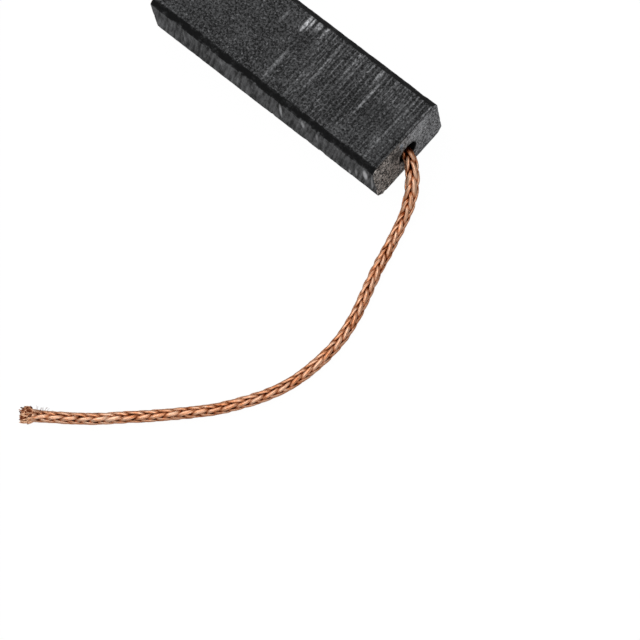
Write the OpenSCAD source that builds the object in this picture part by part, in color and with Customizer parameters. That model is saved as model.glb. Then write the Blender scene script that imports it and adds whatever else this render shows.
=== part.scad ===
// Carbon brush: a chamfered graphite block with a braided copper lead
// tamped into its end. The block lies on one broad face, with its running
// face at -X and the lead leaving the face at +X. Millimetres, +Z up.

/* [Carbon block] */
// Length of the block, from the running face to the lead's face
block_l = 37; // [22:0.5:60]
// Width of the block, across its broad faces
block_w = 12; // [8:0.5:20]
// Thickness of the block
block_h = 8; // [7:0.5:14]
// Leg of the 45 degree chamfer along each of the four long edges
edge_chamfer = 0.8; // [0.3:0.1:1.5]

/* [Lead hole] */
// Diameter of the hole drilled into the end face
hole_d = 3; // [2.6:0.1:3.6]
// Depth of the hole's straight wall
hole_depth = 10; // [6:0.5:15]
// Height of the hole's axis above the bottom face
hole_z = 3.6; // [3:0.1:5]
// Point angle of the drill, in degrees
drill_angle = 118; // [90:1:140]

/* [Tamped powder] */
// How far the powder's rim lies behind the end face
tamp_recess = 2; // [1:0.1:3]
// How much deeper the powder lies beside the lead than at its rim
tamp_dish = 0.3; // [0:0.1:0.6]

/* [Copper lead] */
// Diameter of the braided lead
lead_d = 1.5; // [0.8:0.1:2]
// Powder left between the lead's inner end and the bottom of the hole
lead_seat = 1; // [0.2:0.1:3]
// Width across the splayed wires at the lead's cut end
fray_d = 2.1; // [1.6:0.1:3]

/* [Hidden] */

$fn = 96;
carbon_colour = [0.2, 0.2, 0.21];
powder_colour = [0.16, 0.11, 0.09];
copper_colour = [0.78, 0.5, 0.36];

mouth_x = block_l / 2;
hole_r = hole_d / 2;
drill_tip = hole_r / tan(drill_angle / 2);
lead_r = lead_d / 2;
lead_sides = 8;
// Depth of the lead's inner end behind the mouth, and how far a cut runs past
lead_grip = hole_depth - lead_seat;
overrun = 1;

// The lead's centreline, from its inner end to its cut end. Each point is
// [distance beyond the mouth, place across the block, share of the drop],
// where the share is 1 at the hole's height and 0 on the surface.
route = [
    [-lead_grip, 0, 1], [-tamp_recess, 0, 1], [-0.8 * tamp_recess, 0, 1],
    [-0.4 * tamp_recess, -0.1, 1], [0.1, -0.3, 1], [0.8, -0.6, 0.98],
    [1.5, -1.1, 0.93], [2.2, -1.8, 0.86], [2.8, -2.5, 0.74],
    [3.3, -3.3, 0.6], [3.7, -4.1, 0.46], [4.1, -5, 0.32],
    [4.4, -5.9, 0.19], [4.6, -6.8, 0.1], [4.9, -7.8, 0.05],
    [5.1, -8.7, 0.02], [5.6, -10.6, 0], [6.3, -13.5, 0],
    [7.2, -16.4, 0], [8.1, -19.3, 0], [8.7, -22.3, 0],
    [8.8, -25.2, 0], [8.5, -28.2, 0], [7.8, -31.2, 0],
    [6.6, -34, 0], [5, -36.6, 0], [3.2, -39.1, 0],
    [1.2, -41.3, 0], [-1, -43.5, 0], [-3.1, -45.5, 0],
    [-5.4, -47.6, 0], [-7.6, -49.6, 0], [-9.9, -51.4, 0],
    [-12.3, -53.1, 0], [-13.3, -53.8, 0], [-13.9, -54.3, 0],
    [-14.5, -54.7, 0], [-15.1, -55.1, 0]
];
last = len(route) - 1;
// How many rings at the cut end are splayed
fray_rings = 3;

function tube_r(i) = i > last - fray_rings ? fray_d / 2 : lead_r;
function centre(i) = [
    mouth_x + route[i][0],
    route[i][1],
    tube_r(i) + route[i][2] * (hole_z - lead_r)
];
function unit(v) = v / norm(v);
function heading(i) = unit(centre(min(i + 1, last)) - centre(max(i - 1, 0)));
function octagon(r) = [
    for (k = [0 : lead_sides - 1])
        let (a = k * 360 / lead_sides) [-r * cos(a), r * sin(a)]
];
// One ring of the tube: the octagon, set square to the lead's heading
function ring(i) =
    let (
        ahead = heading(i),
        left = unit(cross([0, 0, 1], ahead)),
        up = cross(ahead, left)
    )
    [for (p = octagon(tube_r(i))) centre(i) + p[0] * left + p[1] * up];

// Lays a shape drawn along +Z onto the hole's axis, +Z running out of the mouth
module on_hole_axis() {
    translate([mouth_x, 0, hole_z]) rotate([0, 90, 0]) children();
}

// The drilled hole as a turned shape: its point, its wall up to top, and a
// face there that may be dished towards the axis
module drilled(top, dish) {
    rotate_extrude()
        polygon([
            [0, -hole_depth - drill_tip],
            [hole_r, -hole_depth],
            [hole_r, top],
            [lead_r, top - dish],
            [0, top - dish]
        ]);
}

module block_section() {
    half_w = block_w / 2;
    polygon([
        [-half_w + edge_chamfer, 0], [half_w - edge_chamfer, 0],
        [half_w, edge_chamfer], [half_w, block_h - edge_chamfer],
        [half_w - edge_chamfer, block_h], [-half_w + edge_chamfer, block_h],
        [-half_w, block_h - edge_chamfer], [-half_w, edge_chamfer]
    ]);
}

module carbon_block() {
    color(carbon_colour)
        difference() {
            translate([-block_l / 2, 0, 0])
                rotate([90, 0, 90])
                    linear_extrude(block_l) block_section();
            on_hole_axis() drilled(overrun, 0);
        }
}

module tamping() {
    color(powder_colour)
        difference() {
            on_hole_axis() drilled(-tamp_recess, tamp_dish);
            translate([mouth_x - lead_grip, 0, hole_z])
                rotate([90, 0, 90])
                    linear_extrude(lead_grip) polygon(octagon(lead_r));
        }
}

module shunt_lead() {
    count = last + 1;
    color(copper_colour)
        polyhedron(
            points = [for (i = [0 : last]) each ring(i)],
            faces = concat(
                [[for (k = [0 : lead_sides - 1]) k]],
                [for (i = [0 : last - 1], k = [0 : lead_sides - 1])
                    let (a = i * lead_sides + k,
                         b = i * lead_sides + (k + 1) % lead_sides)
                    [a, a + lead_sides, b + lead_sides, b]],
                [[for (k = [lead_sides - 1 : -1 : 0])
                    (count - 1) * lead_sides + k]]
            )
        );
}

carbon_block();
tamping();
shunt_lead();
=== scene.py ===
"""A carbon brush for an electric motor: a chamfered graphite block with a
braided copper lead tamped into the hole in its end. Lengths are in metres;
values written in millimetres are multiplied by MM."""

import math
import random

import bmesh
import bpy
from mathutils import Matrix, Quaternion, Vector, noise
from mathutils.geometry import interpolate_bezier


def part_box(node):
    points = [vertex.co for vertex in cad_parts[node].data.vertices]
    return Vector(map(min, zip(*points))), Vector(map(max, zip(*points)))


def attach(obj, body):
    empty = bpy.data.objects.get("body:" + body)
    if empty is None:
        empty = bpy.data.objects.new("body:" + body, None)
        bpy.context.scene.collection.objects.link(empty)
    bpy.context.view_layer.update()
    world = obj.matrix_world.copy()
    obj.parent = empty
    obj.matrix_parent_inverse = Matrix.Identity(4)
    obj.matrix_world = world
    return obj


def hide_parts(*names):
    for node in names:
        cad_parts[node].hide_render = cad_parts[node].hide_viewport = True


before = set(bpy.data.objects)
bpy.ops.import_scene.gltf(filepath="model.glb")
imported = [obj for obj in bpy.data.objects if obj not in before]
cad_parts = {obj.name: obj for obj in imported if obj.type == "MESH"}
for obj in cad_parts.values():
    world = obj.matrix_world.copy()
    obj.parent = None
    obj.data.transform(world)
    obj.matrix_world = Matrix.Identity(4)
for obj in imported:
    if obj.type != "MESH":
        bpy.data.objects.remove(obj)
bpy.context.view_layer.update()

MM = 0.001
FULL_TURN = 2 * math.pi
UP = Vector((0, 0, 1))
WHITE = (1, 1, 1, 1)
# Points closer than this are one point
SAME_PLACE = 0.0001 * MM

# The block and its hole
BLOCK_LOW, BLOCK_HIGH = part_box("carbon_block")
MOUTH_X = BLOCK_HIGH.x
HALF_LENGTH = BLOCK_HIGH.x
HALF_WIDTH = BLOCK_HIGH.y
HALF_HEIGHT = BLOCK_HIGH.z / 2
CHAMFER = 0.8 * MM
HOLE_Z = 3.6 * MM
HOLE_R = 1.5 * MM
HOLE_DEPTH = 10 * MM
DRILL_ANGLE = math.radians(118)

# The lead: its route is [beyond the mouth, across the block, share of the drop]
LEAD_R = 0.75 * MM
FRAY_R = 1.05 * MM
FRAY_POINTS = 3
ROUTE = [
    (-9, 0, 1), (-2, 0, 1), (-1.6, 0, 1), (-0.8, -0.1, 1), (0.1, -0.3, 1),
    (0.8, -0.6, 0.98), (1.5, -1.1, 0.93), (2.2, -1.8, 0.86), (2.8, -2.5, 0.74),
    (3.3, -3.3, 0.6), (3.7, -4.1, 0.46), (4.1, -5, 0.32), (4.4, -5.9, 0.19),
    (4.6, -6.8, 0.1), (4.9, -7.8, 0.05), (5.1, -8.7, 0.02), (5.6, -10.6, 0),
    (6.3, -13.5, 0), (7.2, -16.4, 0), (8.1, -19.3, 0), (8.7, -22.3, 0),
    (8.8, -25.2, 0), (8.5, -28.2, 0), (7.8, -31.2, 0), (6.6, -34, 0),
    (5, -36.6, 0), (3.2, -39.1, 0), (1.2, -41.3, 0), (-1, -43.5, 0),
    (-3.1, -45.5, 0), (-5.4, -47.6, 0), (-7.6, -49.6, 0), (-9.9, -51.4, 0),
    (-12.3, -53.1, 0), (-13.3, -53.8, 0), (-13.9, -54.3, 0), (-14.5, -54.7, 0),
    (-15.1, -55.1, 0),
]


def smooth_share(value, low, high):
    """0 below low, 1 above high, and an eased step between them."""
    share = min(1, max(0, (value - low) / (high - low)))
    return share * share * (3 - 2 * share)


def object_of(name, bm):
    """A new object in the scene with bm's mesh; bm is freed."""
    mesh = bpy.data.meshes.new(name)
    bm.to_mesh(mesh)
    bm.free()
    made = bpy.data.objects.new(name, mesh)
    bpy.context.scene.collection.objects.link(made)
    return made


def smooth(mesh):
    mesh.polygons.foreach_set("use_smooth", [True] * len(mesh.polygons))


def finished_piece(name, bm, finish):
    """A smooth piece made of bm, riding on the brush's one body."""
    piece = object_of(name, bm)
    smooth(piece.data)
    piece.data.materials.append(finish)
    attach(piece, "root")
    return piece


# ---------------------------------------------------------------- materials


class Signal:
    """A shader socket that takes part in Python expressions."""

    def __init__(self, finish, socket):
        self.finish = finish
        self.socket = socket

    def __add__(self, other):
        return self.finish.maths("ADD", self, other)

    def __sub__(self, other):
        return self.finish.maths("SUBTRACT", self, other)

    def __rsub__(self, other):
        return self.finish.maths("SUBTRACT", other, self)

    def __mul__(self, other):
        return self.finish.maths("MULTIPLY", self, other)

    def __abs__(self):
        return self.finish.maths("ABSOLUTE", self)

    __radd__ = __add__
    __rmul__ = __mul__

    def sine(self):
        return self.finish.maths("SINE", self)

    def most(self, other):
        return self.finish.maths("MAXIMUM", self, other)

    def eased(self, low, high):
        """0 at low and 1 at high, with a soft step between."""
        return self.finish.node(
            "ShaderNodeMapRange",
            {"interpolation_type": "SMOOTHSTEP"},
            {"Value": self, "From Min": low, "From Max": high},
        )


class Finish:
    """The look of a new material or world, whose nodes are all made by node()."""

    def __init__(self, owner):
        owner.use_nodes = True
        self.owner = owner
        self.tree = owner.node_tree
        self.tree.nodes.clear()

    def node(self, kind, settings=None, inputs=None, output=0):
        made = self.tree.nodes.new(kind)
        for name, value in (settings or {}).items():
            if name == "stops":
                self.set_stops(made.color_ramp.elements, value)
            else:
                setattr(made, name, value)
        for name, value in (inputs or {}).items():
            if isinstance(value, Signal):
                self.tree.links.new(value.socket, made.inputs[name])
            else:
                made.inputs[name].default_value = value
        return Signal(self, made.outputs[output]) if made.outputs else None

    @staticmethod
    def set_stops(elements, stops):
        while len(elements) < len(stops):
            elements.new(1)
        for element, (position, colour) in zip(elements, stops):
            element.position = position
            element.color = colour

    def maths(self, operation, *values):
        inputs = dict(enumerate(values))
        return self.node("ShaderNodeMath", {"operation": operation}, inputs)

    def place_mm(self):
        """The point on the piece in millimetres, as a vector."""
        place = self.node("ShaderNodeTexCoord", output="Object")
        return self.node(
            "ShaderNodeVectorMath", {"operation": "SCALE"},
            {0: place, "Scale": 1 / MM},
        )

    def stretched(self, vector, factors, shift=(0, 0, 0)):
        return self.node(
            "ShaderNodeVectorMath", {"operation": "MULTIPLY_ADD"},
            {0: vector, 1: factors, 2: shift},
        )

    def length(self, vector):
        return self.node(
            "ShaderNodeVectorMath", {"operation": "LENGTH"}, {0: vector}, "Value"
        )

    def parts(self, vector):
        return [
            self.node("ShaderNodeSeparateXYZ", None, {0: vector}, axis)
            for axis in ("X", "Y", "Z")
        ]

    def joined(self, x, y, z):
        return self.node("ShaderNodeCombineXYZ", None, {0: x, 1: y, 2: z})

    def grain(self, vector, scale, detail=2.0, roughness=0.5):
        return self.node(
            "ShaderNodeTexNoise", None,
            {"Vector": vector, "Scale": scale, "Detail": detail,
             "Roughness": roughness},
        )

    def spot(self, vector, middle, half_sizes):
        """1 at the middle of a soft ellipsoid, 0 outside it."""
        factors = [1 / size for size in half_sizes]
        shift = [-m / size for m, size in zip(middle, half_sizes)]
        return 1 - self.length(self.stretched(vector, factors, shift)).eased(0.3, 1)

    def marked(self, vector, marks):
        """The sum of several spots, each with its own strength."""
        total = 0.0
        for middle, half_sizes, strength in marks:
            total = self.spot(vector, middle, half_sizes) * strength + total
        return total

    def blend(self, first, second, share):
        """Colour: first where share is 0, second where it is 1."""
        return self.node(
            "ShaderNodeMix", {"data_type": "RGBA"},
            {0: share, 6: first, 7: second}, 2,
        )

    def ramp(self, share, stops):
        return self.node("ShaderNodeValToRGB", {"stops": stops}, {"Fac": share})

    def bump(self, height, distance, strength=1.0):
        return self.node(
            "ShaderNodeBump", None,
            {"Height": height, "Distance": distance, "Strength": strength},
        )

    def principled(self, inputs):
        """Ends the material in a Principled shader with these inputs."""
        surface = self.node("ShaderNodeBsdfPrincipled", None, inputs)
        self.node("ShaderNodeOutputMaterial", None, {"Surface": surface})
        return self.owner


# Marks on the graphite, in mm: (middle, half sizes, strength). A mark on the
# top or on an end is centred on that face's own plane.
TOP = 2 * HALF_HEIGHT / MM
END = HALF_LENGTH / MM
TOP_MARKS = (
    ((-1.05, 4.0, TOP), (0.36, 1.7, 3), 0.5),
    ((-0.5, 4.3, TOP), (0.26, 1.3, 3), 0.34),
    ((0.45, 4.6, TOP), (0.5, 1.1, 3), 0.26),
    ((1.6, 4.5, TOP), (0.28, 1.3, 3), 0.2),
    ((-0.5, -2.4, TOP), (0.34, 3.4, 3), 0.13),
    ((-3.9, 3.0, TOP), (0.3, 1.4, 3), 0.1),
    ((4.45, 1.0, TOP), (0.28, 5, 3), 0.1),
    ((11.4, 1.2, TOP), (0.3, 3.6, 3), 0.16),
    ((10.7, 4.2, TOP), (0.4, 1.4, 3), 0.13),
    ((16.2, 0.0, TOP), (0.24, 6, 3), 0.06),
    ((15.9, -2.3, TOP), (0.8, 0.5, 3), 0.05),
)
EDGE_MARKS = (
    ((-13.1, -6, 5.0), (0.26, 3, 2.6), 0.11),
    ((-6.9, -6, 5.7), (0.3, 3, 1.3), 0.09),
    ((3.0, -6, 4.9), (0.3, 3, 2.8), 0.34),
    ((6.7, -6, 5.9), (0.36, 3, 1.3), 0.3),
    ((9.0, -6, 5.2), (0.3, 3, 1.7), 0.16),
    ((14.25, -6, 1.8), (0.26, 3, 1.1), 0.26),
    ((15.4, -6, 3.3), (0.26, 3, 1.6), 0.2),
    ((16.9, -6, 5.1), (0.5, 3, 2.1), 0.5),
    ((18.0, -6, 4.1), (0.25, 3, 2.8), 0.17),
)
SCRATCHED = (
    ((6.6, -3.4, TOP), (2.2, 2.2, 3), 1),
    ((13.6, -2.9, TOP), (1.4, 1.4, 3), 1),
)
# Single places: a darker stretch and a scored line on the top face, then a
# smudge, a glint and a patch of painted sheen on the lead's end face
RUBBED = ((12, 0.2, TOP), (9.5, 2.8, 3))
SCORED = ((END - 0.42, 0, TOP), (0.12, 60, 3))
SMUDGE = ((END, -1.9, 5.9), (3, 1.7, 1.6))
GLINT = ((END, -0.8, 6.6), (3, 0.5, 1.0))
SHEEN_PATCH = ((END, 2.0, 6.2), (3, 3.2, 2.6))
LINE_SPACING = 0.7
# How light each face is before its grain and marks, and the darkest it may be
BROAD_LEVEL, DARKEST_BROAD = 0.03, 0.009
# The edge faces are painted lighter than the broad faces: painted light
LIT_EDGE_LEVEL, DARKEST_EDGE = 0.072, 0.013
# The ends are paler sawn graphite, painted lighter still as painted sheen
LIT_END_LEVEL, DARKEST_END = 0.19, 0.022
# The chamfers are painted dark: painted shade and dark reflection
SHADED_CHAMFER_LEVEL = 0.004
# The graphite inside the hole is darkened: painted shade
BORE_PAINTED_SHADE = 0.93
# Colour of the graphite at full level: plain, browner ends, bluer glint
PLAIN_TINT = (0.98, 0.99, 1.02, 1)
BROWN_TINT = (1.09, 1.0, 0.93, 1)
BLUE_TINT = (0.85, 1.0, 1.2, 1)


class Graphite(Finish):
    """Pressed and ground carbon: sandy broad faces with grinding lines across
    them, chamfers painted dark as painted shade, streaked edge faces painted
    lighter as painted light, and paler sawn ends with painted sheen."""

    def __init__(self):
        super().__init__(bpy.data.materials.new("graphite"))
        self.place = self.place_mm()
        self.x, self.y, self.z = self.parts(self.place)
        self.find_faces()
        # Sandy grain, sparse bright specks, slow clouds and the lines' breaks
        self.sand = self.grain(self.place, 3.4, 2.0, 0.6) - 0.5
        self.fine_sand = self.grain(self.place, 7.0, 1.0, 0.5) - 0.5
        self.specks = self.grain(self.place, 3.1, 1.0, 0.5).eased(0.62, 0.76)
        self.clouds = self.grain(self.place, 0.28, 3.0, 0.6) - 0.5
        dotted = self.stretched(self.place, (3.2, 2.6, 1.0))
        self.dots = self.grain(dotted, 1.0, 2.0, 0.7)

    def find_faces(self):
        """Which face a point is on; the chamfers' borders waver a little."""
        waver = (self.grain(self.place, 0.7, 3.0, 0.6) - 0.5) * 0.12
        across = abs(self.y) + abs(self.z - HALF_HEIGHT / MM)
        chamfer_start = (HALF_WIDTH + HALF_HEIGHT - CHAMFER) / MM
        side = HALF_WIDTH / MM
        self.on_chamfer = (across + waver).eased(chamfer_start - 0.08, chamfer_start)
        self.on_edge_face = abs(self.y).eased(side - 0.2, side - 0.15)
        self.at_lead_end = self.x.eased(0, 1)
        self.off_axis = self.length(self.joined(0.0, self.y, self.z - HOLE_Z / MM))
        wall = HOLE_R / MM
        outside = self.off_axis.eased(wall + 0.02, wall + 0.12)
        self.in_bore = self.at_lead_end * (1 - outside)
        self.on_end = abs(self.x).eased(END - 0.12, END - 0.06) * (1 - self.in_bore)
        on_long_face = (1 - self.on_chamfer) * (1 - self.on_end)
        self.on_broad_face = (1 - self.on_edge_face) * on_long_face

    def grinding_lines(self, ground, broken):
        """Lines that run across the width, where it is ground."""
        wandering = self.stretched(self.place, (0.5, 0.12, 0.1))
        drift = self.grain(wandering, 1.0) - 0.5
        turn = (self.x + drift * 0.7) * (FULL_TURN / LINE_SPACING)
        comb = turn.sine().eased(0.2, 1.0)
        drawn_out = self.stretched(self.place, (2.6, 0.12, 0.2))
        lines = self.grain(drawn_out, 1.0, 2.0, 0.7).eased(0.46, 0.72)
        return (lines + comb * 0.75) * broken * ground

    def scratches(self):
        """Short curved scratches, which follow the level lines of a slow noise."""
        bent = abs(self.grain(self.place, 0.9, 1.0, 0.5) - 0.5)
        scratched = self.marked(self.place, SCRATCHED)
        return (1 - bent.eased(0.006, 0.022)) * scratched

    def broad_face(self):
        """(level, lines) of the broad faces, ground hardest near the lead."""
        broken = self.dots.eased(0.36, 0.68)
        toward_edge = 0.45 + 0.55 * self.y.eased(-3, 4.5)
        ground = (self.x + self.clouds * 14).eased(-3, 4) * toward_edge
        lines = self.grinding_lines(ground, broken)

        paler = (1 - self.x.eased(-6, 3)) * (0.008 + 0.006 * self.y.eased(0, 3))
        grit = (0.25 * self.sand + 0.15 * self.fine_sand) * (1 - 0.25 * ground)
        level = BROAD_LEVEL + paler + grit + 0.07 * self.clouds
        level = (level + self.specks * 0.1).most(DARKEST_BROAD) + lines * 0.17
        level = level + self.marked(self.place, TOP_MARKS) * (0.25 + 1.2 * broken)
        level = level + self.scratches() * 0.09
        scored = self.spot(self.place, *SCORED) * self.dots.eased(0.35, 0.5)
        rubbed = self.spot(self.place, *RUBBED)
        return level * (1 - 0.7 * scored) * (1 - 0.25 * rubbed), lines

    def edge_face(self):
        """(level, streaks) of the long edge faces; they lean a little."""
        x, y, z = self.x, self.y, self.z
        leaning = self.joined((x - z * 0.28) * 2.3, y, z * 0.22)
        streaks = self.grain(leaning, 1.0, 3.0, 0.6) - 0.5
        # The edge faces' level includes painted light
        level = LIT_EDGE_LEVEL + 0.44 * streaks + 0.2 * self.sand + 0.14 * self.clouds
        scuffs = self.marked(self.joined(x - z * 0.1 + 0.5, y, z), EDGE_MARKS)
        return level.most(DARKEST_EDGE) + scuffs * (0.7 + 0.6 * self.dots), streaks

    def end_face(self):
        """(level, brownness, glint) of the sawn ends: browner and rougher towards
        one side, paler towards the other with a painted sheen, and dark round the
        mouth of the hole."""
        mottle = self.grain(self.place, 1.5, 4.0, 0.65) - 0.5
        smooth_side = (self.y + mottle * 5).eased(-2.2, 1.2)
        speckle = 0.95 * mottle + 1.8 * self.sand + 1.1 * self.fine_sand
        speckle = speckle * (0.4 + 0.6 * self.at_lead_end) * (1 - 0.3 * smooth_side)
        # A patch of painted sheen on the paler side
        painted_sheen = self.spot(self.place, *SHEEN_PATCH)
        level = LIT_END_LEVEL + smooth_side * (0.01 + 0.09 * painted_sheen) + speckle

        wall = HOLE_R / MM
        halo = self.at_lead_end * (1 - self.off_axis.eased(wall, wall + 0.7))
        halo = halo * self.z.eased(3.2, 4.6) * 0.8
        smudge = self.spot(self.place, *SMUDGE).most(halo)
        # Painted shade along the end face's top rim
        rim = self.z.eased(TOP - 0.4, TOP - 0.2)
        level = (level * (1 - 0.75 * smudge) * (1 - 0.7 * rim)).most(DARKEST_END)
        glint = self.spot(self.place, *GLINT) * 0.08
        return level + glint, 1 - smooth_side, glint

    def material(self):
        broad, lines = self.broad_face()
        edge, streaks = self.edge_face()
        end, brownness, glint = self.end_face()
        # The chamfers' painted shade
        chamfer = SHADED_CHAMFER_LEVEL + 0.006 * (self.sand + 0.5)
        between_ends = 1 - self.on_end
        level = broad * self.on_broad_face + end * self.on_end
        level = level + edge * self.on_edge_face * (1 - self.on_chamfer) * between_ends
        level = level + chamfer * self.on_chamfer * between_ends
        # Painted shade inside the hole
        level = level * (1 - BORE_PAINTED_SHADE * self.in_bore)
        tint = self.blend(PLAIN_TINT, BROWN_TINT, self.on_end * brownness)
        tint = self.blend(tint, BLUE_TINT, glint * 10)
        colour = self.node(
            "ShaderNodeVectorMath", {"operation": "MULTIPLY"},
            {0: tint, 1: self.joined(level, level, level)},
        )
        height = self.sand + self.fine_sand * 0.5 + self.specks * 0.5 + lines * 0.8
        height = height + streaks * self.on_edge_face
        height = height * (1 - 0.75 * self.on_chamfer)
        return self.principled({
            "Base Color": colour,
            "Roughness": 0.6 - 0.05 * self.on_chamfer + 0.4 * self.sand,
            "IOR": 1.14,
            "Normal": self.bump(height, 0.035 * MM, 0.9),
        })


def powder():
    """Tamped contact powder with brown and copper grains, nearly black: its own dark
    colour and painted shade deep in the hole.
    """
    finish = Finish(bpy.data.materials.new("powder"))
    place = finish.place_mm()
    grains = finish.grain(place, 7.0, 3.0, 0.7)
    copper_grains = finish.grain(place, 9.0, 1.0, 0.5).eased(0.66, 0.74)
    dark = finish.blend((0.002, 0.0015, 0.001, 1), (0.012, 0.006, 0.004, 1), grains)
    return finish.principled({
        "Base Color": finish.blend(dark, (0.09, 0.03, 0.012, 1), copper_grains),
        "Roughness": 0.75,
        "IOR": 1.22,
        "Normal": finish.bump(grains, 0.06 * MM),
    })


# Copper from the near black of painted shade and dark oxide to brown; each use has its
# own brightest tone
COPPER_TONES = (
    (0.0, (0.015, 0.002, 0.0005, 1)),
    (0.3, (0.22, 0.042, 0.009, 1)),
    (0.62, (0.6, 0.25, 0.12, 1)),
)


def copper(name, wires_round, least_tone, metallic, brightest):
    """Bare copper wires side by side in a strand: painted highlight where they
    lie on top, and painted shade with old oxide, brown to near black, where
    they dive under the next strand."""
    finish = Finish(bpy.data.materials.new(name))
    place = finish.place_mm()
    x, y, _ = finish.parts(place)
    strand_map = finish.node("ShaderNodeUVMap", {"uv_map": "strand"})
    along, around_strand, _ = finish.parts(strand_map)
    lift = finish.node("ShaderNodeAttribute", {"attribute_name": "lift"}, None, "Fac")
    shine = lift.eased(0.3, 1.0)

    # Each wire has its own tone, which drifts slowly along it
    wire_seed = finish.joined(along * 0.6, around_strand * wires_round * 0.65, 0.0)
    wire_tone = finish.grain(wire_seed, 1.0, 2.0, 0.6) - 0.5
    tarnish = finish.grain(place, 0.5, 3.0, 0.6) - 0.5
    blotches = finish.grain(place, 1.9, 3.0, 0.6) - 0.5
    # The tone rises with the lift: painted highlight where a strand lies on top,
    # painted shade in the gaps
    tone = least_tone + shine * 0.72 + wire_tone * 1.2 + tarnish * 0.5
    tone = tone + blotches * 0.9

    # The lead is blackened where it comes out of the powder, by soot and by
    # painted shade of the hole; over its first bend it gets a painted highlight on
    # top and painted shade in its gaps, and it is a little brighter towards its cut
    # end
    mouth = MOUTH_X / MM
    clear = (x - y * 0.7).eased(mouth - 0.4, mouth + 1.8)
    soot_and_shade = (1 - clear) * x.eased(mouth - 4, mouth - 3)
    on_first_bend = 1 - along.eased(5, 11)
    tone = tone - soot_and_shade * 0.75 + (shine - 0.58) * 0.5 * on_first_bend
    tone = tone + along.eased(45, 68) * 0.07

    wires = (around_strand * (wires_round * FULL_TURN)).sine()
    return finish.principled({
        "Base Color": finish.ramp(tone, [*COPPER_TONES, (1.0, brightest)]),
        "Metallic": metallic,
        "Specular Tint": (0.75, 0.45, 0.3, 1),
        "Roughness": 0.52 - 0.1 * shine + 0.3 * wire_tone,
        "Normal": finish.bump(wires + wire_tone * 2, 0.012 * MM, 0.7),
    })


# ------------------------------------------------------------------- camera

AZIMUTH, ELEVATION, ROLL = (math.radians(a) for a in (57.33, 68.27, -17.13))
CAMERA_AIM = Vector((23.4, -22.6, 0)) * MM
CAMERA_DISTANCE = 492 * MM


def add_camera():
    """A long lens high above the lead's end of the block."""
    level = math.cos(ELEVATION)
    back = Vector(
        (math.sin(AZIMUTH) * level, -math.cos(AZIMUTH) * level, math.sin(ELEVATION))
    )
    turn = back.to_track_quat("Z", "Y") @ Quaternion(UP, ROLL)
    data = bpy.data.cameras.new("camera")
    data.sensor_width = 36
    data.lens = 227
    data.clip_start = 0.01
    data.clip_end = 10
    camera = bpy.data.objects.new("camera", data)
    camera.matrix_world = (
        Matrix.Translation(CAMERA_AIM + back * CAMERA_DISTANCE)
        @ turn.to_matrix().to_4x4()
    )
    bpy.context.scene.collection.objects.link(camera)
    bpy.context.scene.camera = camera


# --------------------------------------------------------------------- lead


class LeadLine:
    """The lead's smooth centreline, by distance from the powder's face."""

    STEP = 0.1 * MM
    # Points on each curve of the route
    CURVE_POINTS = 40

    def __init__(self):
        self.places = self.smoothed([self.centre(i) for i in range(len(ROUTE))])

    @staticmethod
    def centre(i):
        beyond, across, drop = ROUTE[i]
        radius = FRAY_R if i >= len(ROUTE) - FRAY_POINTS else LEAD_R
        height = radius + drop * (HOLE_Z - LEAD_R)
        return Vector((MOUTH_X + beyond * MM, across * MM, height))

    def smoothed(self, points):
        """Curves through all but the buried first point, then evenly spaced
        places on them."""
        handles = [
            (points[min(i + 1, len(points) - 1)] - points[max(i - 1, 0)]) / 6
            for i in range(len(points))
        ]
        dense = []
        for i in range(1, len(points) - 1):
            a, b = points[i], points[i + 1]
            dense += interpolate_bezier(
                a, a + handles[i], b - handles[i + 1], b, self.CURVE_POINTS
            )
        even = [dense[0]]
        for place in dense[1:]:
            while (place - even[-1]).length >= self.STEP:
                even.append(even[-1] + (place - even[-1]).normalized() * self.STEP)
        return even

    @property
    def length(self):
        return (len(self.places) - 1) * self.STEP

    def at(self, distance):
        """(place, ahead, left, up) at that distance; the ends run on straight."""
        last = len(self.places) - 1
        position = distance / self.STEP
        i = min(last - 1, max(0, int(position)))
        place = self.places[i].lerp(self.places[i + 1], position - i)
        # The heading is taken over seven steps
        a, b = self.places[max(0, i - 3)], self.places[min(last, i + 4)]
        ahead = (b - a).normalized()
        left = UP.cross(ahead).normalized()
        return place, ahead, left, ahead.cross(left)

    def around(self, distance, radius, angle):
        """The point that far out from the centreline, at that angle about it."""
        place, _, left, up = self.at(distance)
        return place + radius * (math.cos(angle) * left + math.sin(angle) * up)


# The braid: twelve flat strands, six wound each way. Each passes over two
# and under two, so that they show as six columns of long slanting leaves.
STRANDS_EACH_WAY = 6
STRAND_RINGS = 520
STRAND_POINTS = 24
WIRES_ROUND = 12
RIB_HEIGHT = 0.04
# Length of one leaf of a column, near the block and at the cut end
LEAF_START = 1.62 * MM
LEAF_END = 1.82 * MM
# Leaves by which the braid is drawn out over its first bend
DRAWN_OUT = 0.55
# Radii of a strand's middle where it lies over and under the others
OVER_R, UNDER_R = 0.63 * MM, 0.35 * MM
OVER_WIDTH, UNDER_WIDTH = 0.51 * MM, 0.42 * MM
THICKNESS = 0.28 * MM
# A strand's points stay this far from the lead's axis, and its width is
# never wrapped round a smaller radius than this
LEAST_REACH, LEAST_BEND_R = 0.02 * MM, 0.3 * MM
# A strand's lift is 0 where it reaches this far out, and 1 at the lead's skin
SUNK_REACH = 0.4 * MM
# How much a strand runs straight ahead where it lies on top
STRAIGHTENING = math.radians(12)
SHINGLE_TILT = 0.2
# How the columns are turned about the lead, and how much they twist
BRAID_TURN = math.radians(-13)
BRAID_TWIST = math.radians(7)
# Unevenness: of the crossings, the width, the radius, and of the turn of the
# whole braid and of one strand in it
LATENESS = 0.36
UNEVEN_WIDTH = 0.3
LOOSENESS = 0.045 * MM
WANDER = 0.2
STRAND_WANDER = 0.05
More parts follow.
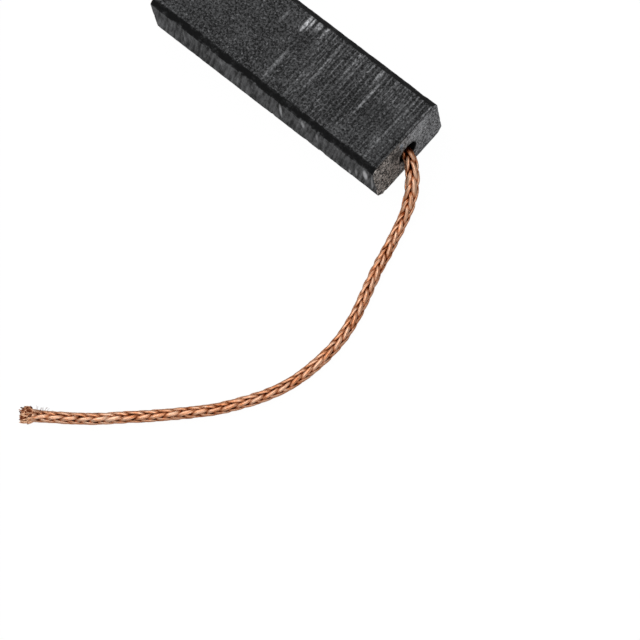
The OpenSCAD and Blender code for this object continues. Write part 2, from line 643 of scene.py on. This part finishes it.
# The braid is fuller where it bends down from the mouth and at the cut end
SWELL, SWELL_AT, SWELL_REACH = 0.2, 6.2 * MM, 5.5 * MM
END_SWELL, END_SWELL_REACH = 0.15, 4 * MM
# It tapers inside the tuft: how much, and from and to where before the tip
TAPER, TAPER_FROM, TAPER_TO = 0.5, 1.6 * MM, 0.8 * MM


def leaves_before(distance, length):
    """How many leaves of one column lie before this distance."""
    growth = (LEAF_END - LEAF_START) / length
    even = math.log(1 + growth * distance / LEAF_START) / growth
    return even - DRAWN_OUT * smooth_share(distance, 2 * MM, 10 * MM)


def strand_course(line, hand, carrier, distance):
    """(crossings, course): how many others a strand has crossed by then, and
    its phase, which is 0 where it lies on top."""
    late = noise.noise(Vector((distance / MM * 0.2, carrier * 3.7, hand * 9.1)))
    crossings = 2 * leaves_before(distance, line.length) + LATENESS * late
    top_crossing = 0.5 if hand > 0 else 1.5
    return crossings, math.pi / 2 * (crossings + 2 * carrier - top_crossing)


def over_share(course):
    """1 where a strand lies on top and 0 where it is deepest."""
    rise_share = math.cos(course)
    weave = rise_share * (1.5 - 0.5 * rise_share ** 2)
    return (0.5 + 0.5 * weave) ** 0.6


def section_point(share_round, width, hand):
    """(side, rise) of a point on a strand's flat, ribbed and tilted section."""
    angle = FULL_TURN * share_round
    rib = 1 + RIB_HEIGHT * math.cos(WIRES_ROUND * angle)
    side = math.copysign(abs(math.cos(angle)) ** 0.85, math.cos(angle))
    rise = math.copysign(abs(math.sin(angle)) ** 0.85, math.sin(angle))
    side *= width / 2 * rib
    rise *= THICKNESS / 2 * rib
    tilt = hand * SHINGLE_TILT
    return (
        side * math.cos(tilt) - rise * math.sin(tilt),
        side * math.sin(tilt) + rise * math.cos(tilt),
    )


def filled_out(reach, line, distance):
    """That reach where the braid is fuller, or tapers to its end."""
    near = 1 - smooth_share(abs(distance - SWELL_AT), 0, SWELL_REACH)
    to_end = 1 - smooth_share(line.length - distance, 0, END_SWELL_REACH)
    tapered = smooth_share(distance, line.length - TAPER_FROM, line.length - TAPER_TO)
    reach *= 1 + SWELL * near + END_SWELL * to_end
    return reach * (1 - TAPER * tapered)


def strand_point(line, hand, carrier, distance, share_round):
    """(place, lift) of one point on a strand's surface."""
    crossings, course = strand_course(line, hand, carrier, distance)
    over = over_share(course)
    seed = Vector((distance / MM * 0.45, carrier * 7.3, hand * 3.1))
    unevenness = noise.noise(seed)
    looseness = noise.noise(seed * 2.1 + Vector((5, 0, 0)))
    width = UNDER_WIDTH + (OVER_WIDTH - UNDER_WIDTH) * over
    width *= 1 + UNEVEN_WIDTH * unevenness
    side, rise = section_point(share_round, width, hand)

    radius = UNDER_R + (OVER_R - UNDER_R) * over + LOOSENESS * looseness
    reach = max(LEAST_REACH, radius + rise)
    lift = (reach - SUNK_REACH) / (LEAD_R - SUNK_REACH)

    advance = crossings * math.pi / STRANDS_EACH_WAY - STRAIGHTENING * math.sin(course)
    turn = hand * advance + carrier * FULL_TURN / STRANDS_EACH_WAY + BRAID_TURN
    turn += BRAID_TWIST * distance / line.length
    turn += WANDER * noise.noise(Vector((distance / MM * 0.13, 60, 0)))
    turn += side / max(radius, LEAST_BEND_R) + STRAND_WANDER * looseness
    place = line.around(distance, filled_out(reach, line, distance), turn)
    place.z = max(place.z, 0)
    return place, lift


def add_strand(bm, line, hand, carrier):
    """One strand: a grid rolled into a tube along its helix, its ends closed."""
    lift = bm.verts.layers.float["lift"]
    strand = bm.loops.layers.uv["strand"]
    sheet = bmesh.ops.create_grid(
        bm, x_segments=STRAND_RINGS, y_segments=STRAND_POINTS, size=0.5,
        calc_uvs=True,
    )
    faces = {face for vert in sheet["verts"] for face in vert.link_faces}
    for face in faces:
        for loop in face.loops:
            loop[strand].uv.x *= line.length / MM
    for vert in sheet["verts"]:
        distance = (vert.co.x + 0.5) * line.length
        vert.co, vert[lift] = strand_point(
            line, hand, carrier, distance, vert.co.y + 0.5
        )
    bmesh.ops.remove_doubles(bm, verts=sheet["verts"], dist=SAME_PLACE)
    ends = [e for e in bm.edges if e.is_boundary]
    bmesh.ops.holes_fill(bm, edges=ends, sides=0)


def new_copper_mesh():
    """An empty mesh with the layers that the copper finish reads."""
    bm = bmesh.new()
    bm.verts.layers.float.new("lift")
    bm.loops.layers.uv.new("strand")
    return bm


def add_braid_half(name, line, hand, finish):
    """The six strands that are wound one way."""
    bm = new_copper_mesh()
    for carrier in range(STRANDS_EACH_WAY):
        add_strand(bm, line, hand, carrier)
    bmesh.ops.recalc_face_normals(bm, faces=bm.faces)
    return finished_piece(name, bm, finish)


WIRE_SIDES = 5
WIRE_SPANS = 7
# The tuft at the cut end: wires that have sprung out of the braid
TUFT_LENGTH = 2.0 * MM
TUFT_WIRES = 260
TUFT_WIRE_R_MM = (0.045, 0.075)
# Hairs that stand off the side of the lead near its cut end
HAIRS = 28
HAIR_R = 0.016 * MM
HAIR_LIFT = 0.15
# Loose wires that bow out of the braid and back into it
LOOSE_WIRES = 110
LOOSE_WIRE_R_MM = (0.016, 0.026)
LOOSE_ROOT_R = 0.6 * MM


def add_wire(bm, ends, radius, lift_value):
    """A thin closed tube along a Bezier curve through four points."""
    lift = bm.verts.layers.float["lift"]
    places = interpolate_bezier(*ends, WIRE_SPANS + 1)
    sheet = bmesh.ops.create_grid(
        bm, x_segments=WIRE_SPANS, y_segments=WIRE_SIDES, size=0.5, calc_uvs=True
    )
    frames = []
    for i, place in enumerate(places):
        ahead = places[min(i + 1, WIRE_SPANS)] - places[max(i - 1, 0)]
        frames.append((place, ahead.to_track_quat("Z", "Y")))
    for vert in sheet["verts"]:
        place, turn = frames[round((vert.co.x + 0.5) * WIRE_SPANS)]
        angle = FULL_TURN * vert.co.y
        ring = Vector((math.cos(angle), math.sin(angle), 0)) * radius
        vert.co = place + turn @ ring
        vert.co.z = max(vert.co.z, 0)
        vert[lift] = lift_value
    bmesh.ops.remove_doubles(bm, verts=sheet["verts"], dist=SAME_PLACE)
    edges = {e for v in sheet["verts"] if v.is_valid for e in v.link_edges}
    bmesh.ops.holes_fill(bm, edges=[e for e in edges if e.is_boundary], sides=0)


def add_tuft(bm, line, draw):
    """Cut wires that flare out of the last of the braid and curl over."""
    for _ in range(TUFT_WIRES):
        angle = draw.uniform(0, FULL_TURN)
        spread = math.sqrt(draw.random())
        start = line.length - TUFT_LENGTH * draw.uniform(0.75, 1)
        tip = line.length - draw.uniform(-0.1, 1.2) * MM * spread ** 2
        twisted = angle + draw.uniform(-0.9, 0.9)
        curl = FRAY_R * min(1.08, spread * draw.uniform(0.9, 1.15) + 0.08)
        bend = tip - draw.uniform(-0.2, 0.8) * MM
        tip_reach = curl * draw.uniform(0.8, 1)
        tip_angle = twisted + draw.uniform(-0.5, 0.5)
        ends = [
            line.around(start, LEAD_R * 0.8 * spread, angle),
            line.around(start + 0.5 * MM, LEAD_R * 1.2 * spread, angle),
            line.around(bend, curl * 1.12, twisted),
            line.around(tip, tip_reach, tip_angle),
        ]
        radius = draw.uniform(*TUFT_WIRE_R_MM) * MM
        add_wire(bm, ends, radius, draw.uniform(0.2, 1.0))


def add_hairs(bm, line, draw):
    """Fine hairs that stand up from one side of the lead."""
    for _ in range(HAIRS):
        angle = math.radians(draw.uniform(60, 190))
        start = line.length - draw.uniform(0.2, 4.6) * MM
        long = draw.uniform(0.15, 0.6) * MM
        slide = draw.uniform(-0.3, 0.5) * MM
        ends = [
            line.around(start, LEAD_R * 0.9, angle),
            line.around(start + slide * 0.2, LEAD_R + long * 0.4, angle),
            line.around(start + slide * 0.6, LEAD_R + long * 0.8, angle + 0.1),
            line.around(start + slide, LEAD_R + long, angle + 0.15),
        ]
        add_wire(bm, ends, HAIR_R, HAIR_LIFT)


def add_loose_wires(bm, line, draw):
    """Single wires that have slipped out of the strands along the lead."""
    for _ in range(LOOSE_WIRES):
        angle = draw.uniform(0, FULL_TURN)
        start = draw.uniform(4 * MM, line.length - 3 * MM)
        long = draw.uniform(0.8, 2.4) * MM
        lean = draw.choice((-1, 1)) * draw.uniform(0.1, 0.6)
        bulge = draw.uniform(0.74, 0.82) * MM
        ends = [
            line.around(start, LOOSE_ROOT_R, angle),
            line.around(start + long * 0.3, bulge, angle + lean * 0.3),
            line.around(start + long * 0.7, bulge, angle + lean * 0.8),
            line.around(start + long, LOOSE_ROOT_R, angle + lean),
        ]
        radius = draw.uniform(*LOOSE_WIRE_R_MM) * MM
        add_wire(bm, ends, radius, draw.uniform(0.2, 1.1))


def add_frayed_wires(line, finish):
    draw = random.Random(41)
    bm = new_copper_mesh()
    add_tuft(bm, line, draw)
    add_hairs(bm, line, draw)
    add_loose_wires(bm, line, draw)
    bmesh.ops.recalc_face_normals(bm, faces=bm.faces)
    return finished_piece("frayed_wires", bm, finish)


# -------------------------------------------------------------------- block

CELL = 0.3 * MM
EDGE_BREAK = 0.07 * MM
# The drill stands this far out of the block and eases the rim of its hole
DRILL_OVERRUN = 0.5 * MM
RIM_WIDTH, RIM_DEPTH = 0.1 * MM, 0.12 * MM
DRILL_STEPS = 64
# Wear in mm: an edge's even, coarse and fine loss and its chips, then what a
# face loses everywhere
EDGE_WEAR, COARSE_WEAR, FINE_WEAR, CHIP_DEPTH = 0.012, 0.03, 0.025, 0.09
FACE_ROUGHNESS = 0.004
# An edge is worn this far in from it; the hole's wall is not worn
WEAR_REACH = 0.45 * MM
WALL_MARGIN = 0.05 * MM
SHARP_EDGE = math.radians(28)


def add_drill():
    """The drill's path: a round hole with a conical bottom, its rim eased."""
    tip = HOLE_DEPTH + HOLE_R / math.tan(DRILL_ANGLE / 2)
    rim = HOLE_R + RIM_WIDTH
    outline = [
        (-DRILL_OVERRUN, 0), (-DRILL_OVERRUN, rim), (0, rim),
        (RIM_DEPTH, HOLE_R), (HOLE_DEPTH, HOLE_R), (tip, 0),
    ]
    bm = bmesh.new()
    verts = [
        bm.verts.new((MOUTH_X - depth, 0, HOLE_Z + radius))
        for depth, radius in outline
    ]
    edges = [bm.edges.new(pair) for pair in zip(verts, verts[1:])]
    bmesh.ops.spin(
        bm, geom=verts + edges, cent=(0, 0, HOLE_Z), axis=(1, 0, 0),
        angle=FULL_TURN, steps=DRILL_STEPS, use_merge=True,
    )
    bmesh.ops.remove_doubles(bm, verts=bm.verts, dist=SAME_PLACE)
    bmesh.ops.recalc_face_normals(bm, faces=bm.faces)
    return object_of("drill", bm)


def cut_into_cells(bm):
    """Cuts every face along even planes, so that it can be worn."""
    for axis in range(3):
        normal = [0, 0, 0]
        normal[axis] = 1
        span = BLOCK_HIGH[axis] - BLOCK_LOW[axis]
        cells = round(span / CELL)
        for i in range(1, cells):
            at = [0, 0, 0]
            at[axis] = BLOCK_LOW[axis] + span * i / cells
            geometry = bm.verts[:] + bm.edges[:] + bm.faces[:]
            bmesh.ops.bisect_plane(
                bm, geom=geometry, dist=0.001 * MM, plane_co=at, plane_no=normal
            )


def edge_distance(place):
    """How far a point of the block's skin is from the nearest edge."""
    y, z = abs(place.y), abs(place.z - HALF_HEIGHT)
    corners = (
        (HALF_WIDTH, HALF_HEIGHT - CHAMFER), (HALF_WIDTH - CHAMFER, HALF_HEIGHT)
    )
    to_long = min(math.hypot(y - cy, z - cz) for cy, cz in corners)
    inset = min(
        HALF_WIDTH - y, HALF_HEIGHT - z,
        (HALF_WIDTH + HALF_HEIGHT - CHAMFER - y - z) / math.sqrt(2),
    )
    to_end = HALF_LENGTH - abs(place.x)
    return min(to_long, max(inset, to_end))


def wear_depth(place):
    """How much the block has lost there, in mm."""
    near_edge = 1 - smooth_share(edge_distance(place), 0, WEAR_REACH)
    coarse = noise.noise(place / MM * 1.1)
    fine = noise.noise(place / MM * 3.3 + Vector((9, 0, 0)))
    chip = smooth_share(noise.noise(place / MM * 0.9 + Vector((0, 40, 0))), 0.4, 0.6)
    rubbed = EDGE_WEAR + COARSE_WEAR * coarse + FINE_WEAR * fine + CHIP_DEPTH * chip
    return max(0, near_edge * rubbed) + FACE_ROUGHNESS * (1 + fine)


def wear(bm):
    """Rubs the edges, chips them here and there and roughens the faces."""
    bm.normal_update()
    moves = []
    for vert in bm.verts:
        place = vert.co
        in_hole = math.hypot(place.y, place.z - HOLE_Z) < HOLE_R + WALL_MARGIN
        if in_hole and place.x > 0:
            continue
        moves.append((vert, vert.normal * wear_depth(place) * MM))
    for vert, move in moves:
        vert.co -= move


def chamfered_blank():
    """The block before it is drilled, its edges broken, cut into cells."""
    size = BLOCK_HIGH - BLOCK_LOW
    middle = Matrix.Translation((BLOCK_HIGH + BLOCK_LOW) / 2)
    bm = bmesh.new()
    bmesh.ops.create_cube(bm, size=1, matrix=middle @ Matrix.Diagonal((*size, 1)))
    long_edges = [
        e for e in bm.edges if abs(e.verts[0].co.x - e.verts[1].co.x) > size.x / 2
    ]
    bmesh.ops.bevel(
        bm, geom=long_edges, offset=CHAMFER, offset_type="OFFSET", segments=1,
        profile=0.5, affect="EDGES", material=-1,
    )
    bmesh.ops.bevel(
        bm, geom=bm.edges[:], offset=EDGE_BREAK, offset_type="OFFSET", segments=2,
        profile=0.5, affect="EDGES", material=-1,
    )
    cut_into_cells(bm)
    return bm


def add_block(finish):
    """The graphite block, drilled and then worn."""
    block = finished_piece("graphite_block", chamfered_blank(), finish)
    drill = add_drill()
    bore = block.modifiers.new("bore", "BOOLEAN")
    bore.operation = "DIFFERENCE"
    bore.solver = "EXACT"
    bore.object = drill
    bored = block.evaluated_get(bpy.context.evaluated_depsgraph_get())
    bm = bmesh.new()
    bm.from_mesh(bored.to_mesh())
    block.modifiers.clear()
    bpy.data.objects.remove(drill)
    wear(bm)
    bm.to_mesh(block.data)
    bm.free()
    smooth(block.data)
    block.data.set_sharp_from_angle(angle=SHARP_EDGE)
    return block


# ------------------------------------------------------------------- studio

# How much of the table is plain glow: to the camera, in mirrors, through glass
TABLE_SEEN, TABLE_MIRRORED, TABLE_THROUGH = 0.95, 0.2, 0.5
TABLE_CARD = (0.55, 0.55, 0.55, 1)
TABLE_GLOW = 1.03
TABLE_HALF_SIZE = 1.5
# The table lies a hair below the brush
TABLE_GAP = 0.02 * MM
WORLD_LIGHT = 0.45
LAMP_AIM = Vector((15, -22, 0)) * MM
# Lamps: (name, direction and distance in metres, size, power)
LAMPS = (
    ("window", (-0.42, 0.05, 1.0), 0.9, 5.2),
    ("overhead", (0.1, -0.2, 0.9), 0.8, 1.8),
    ("front", (0.6, -0.45, 0.5), 0.6, 0.75),
)


def white_table():
    """White to the eye and to mirrors, with only a faint shadow on it."""
    finish = Finish(bpy.data.materials.new("white_table"))
    seen = finish.node("ShaderNodeLightPath", output="Is Camera Ray")
    mirrored = finish.node("ShaderNodeLightPath", output="Is Glossy Ray")
    through = finish.node("ShaderNodeLightPath", output="Is Transmission Ray")
    share = (seen * TABLE_SEEN).most(mirrored * TABLE_MIRRORED)
    share = share.most(through * TABLE_THROUGH)
    card = finish.node("ShaderNodeBsdfDiffuse", None, {"Color": TABLE_CARD})
    glow = finish.node(
        "ShaderNodeEmission", None, {"Color": WHITE, "Strength": TABLE_GLOW}
    )
    surface = finish.node("ShaderNodeMixShader", None, {0: share, 1: card, 2: glow})
    finish.node("ShaderNodeOutputMaterial", None, {"Surface": surface})
    return finish.owner


def add_floor():
    bm = bmesh.new()
    bmesh.ops.create_grid(bm, x_segments=2, y_segments=2, size=TABLE_HALF_SIZE)
    bmesh.ops.translate(bm, verts=bm.verts, vec=(0, 0, -TABLE_GAP))
    floor = object_of("floor", bm)
    floor.data.materials.append(white_table())


def add_lamp(name, toward, size, power):
    """A square soft lamp that far away in that direction, facing the object."""
    data = bpy.data.lights.new(name, "AREA")
    data.shape = "SQUARE"
    data.size = size
    data.energy = power
    lamp = bpy.data.objects.new(name, data)
    lamp.matrix_world = (
        Matrix.Translation(LAMP_AIM + Vector(toward))
        @ Vector(toward).to_track_quat("Z", "Y").to_matrix().to_4x4()
    )
    bpy.context.scene.collection.objects.link(lamp)


def add_world():
    """Even soft light from all round, which the camera sees as plain white."""
    studio = Finish(bpy.data.worlds.new("studio"))
    seen = studio.node("ShaderNodeLightPath", output="Is Camera Ray")
    light = studio.node(
        "ShaderNodeBackground", None,
        {"Color": WHITE, "Strength": seen.most(WORLD_LIGHT)},
    )
    studio.node("ShaderNodeOutputWorld", None, {"Surface": light})
    bpy.context.scene.world = studio.owner


# -------------------------------------------------------------------- scene

# Each copper finish: name, wires round, least tone, metallic, brightest tone
STRAND_COPPER = ("copper_strands", WIRES_ROUND, 0.07, 1.0, (0.72, 0.455, 0.315, 1))
# The loose wires' copper is a lighter, less metallic copy of the strands': painted
# light against the shade inside the tuft
LIGHTENED_WIRE_COPPER = ("copper_wires", 2, 0.42, 0.5, (1.0, 0.62, 0.39, 1))
PATH_SPANS = 140

add_camera()
lead_line = LeadLine()
strand_copper = copper(*STRAND_COPPER)
braid = add_braid_half("braid_right_wound", lead_line, 1, strand_copper)
crossing_braid = add_braid_half("braid_left_wound", lead_line, -1, strand_copper)
fray = add_frayed_wires(lead_line, copper(*LIGHTENED_WIRE_COPPER))
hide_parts("shunt_lead")
lead_path = [
    lead_line.at(lead_line.length * i / PATH_SPANS)[0] for i in range(PATH_SPANS + 1)
]

block = add_block(Graphite().material())
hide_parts("carbon_block")
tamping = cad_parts["tamping"]
tamping.data.materials.clear()
tamping.data.materials.append(powder())

add_floor()
for lamp in LAMPS:
    add_lamp(*lamp)
add_world()
bpy.context.scene.view_settings.view_transform = "Standard"
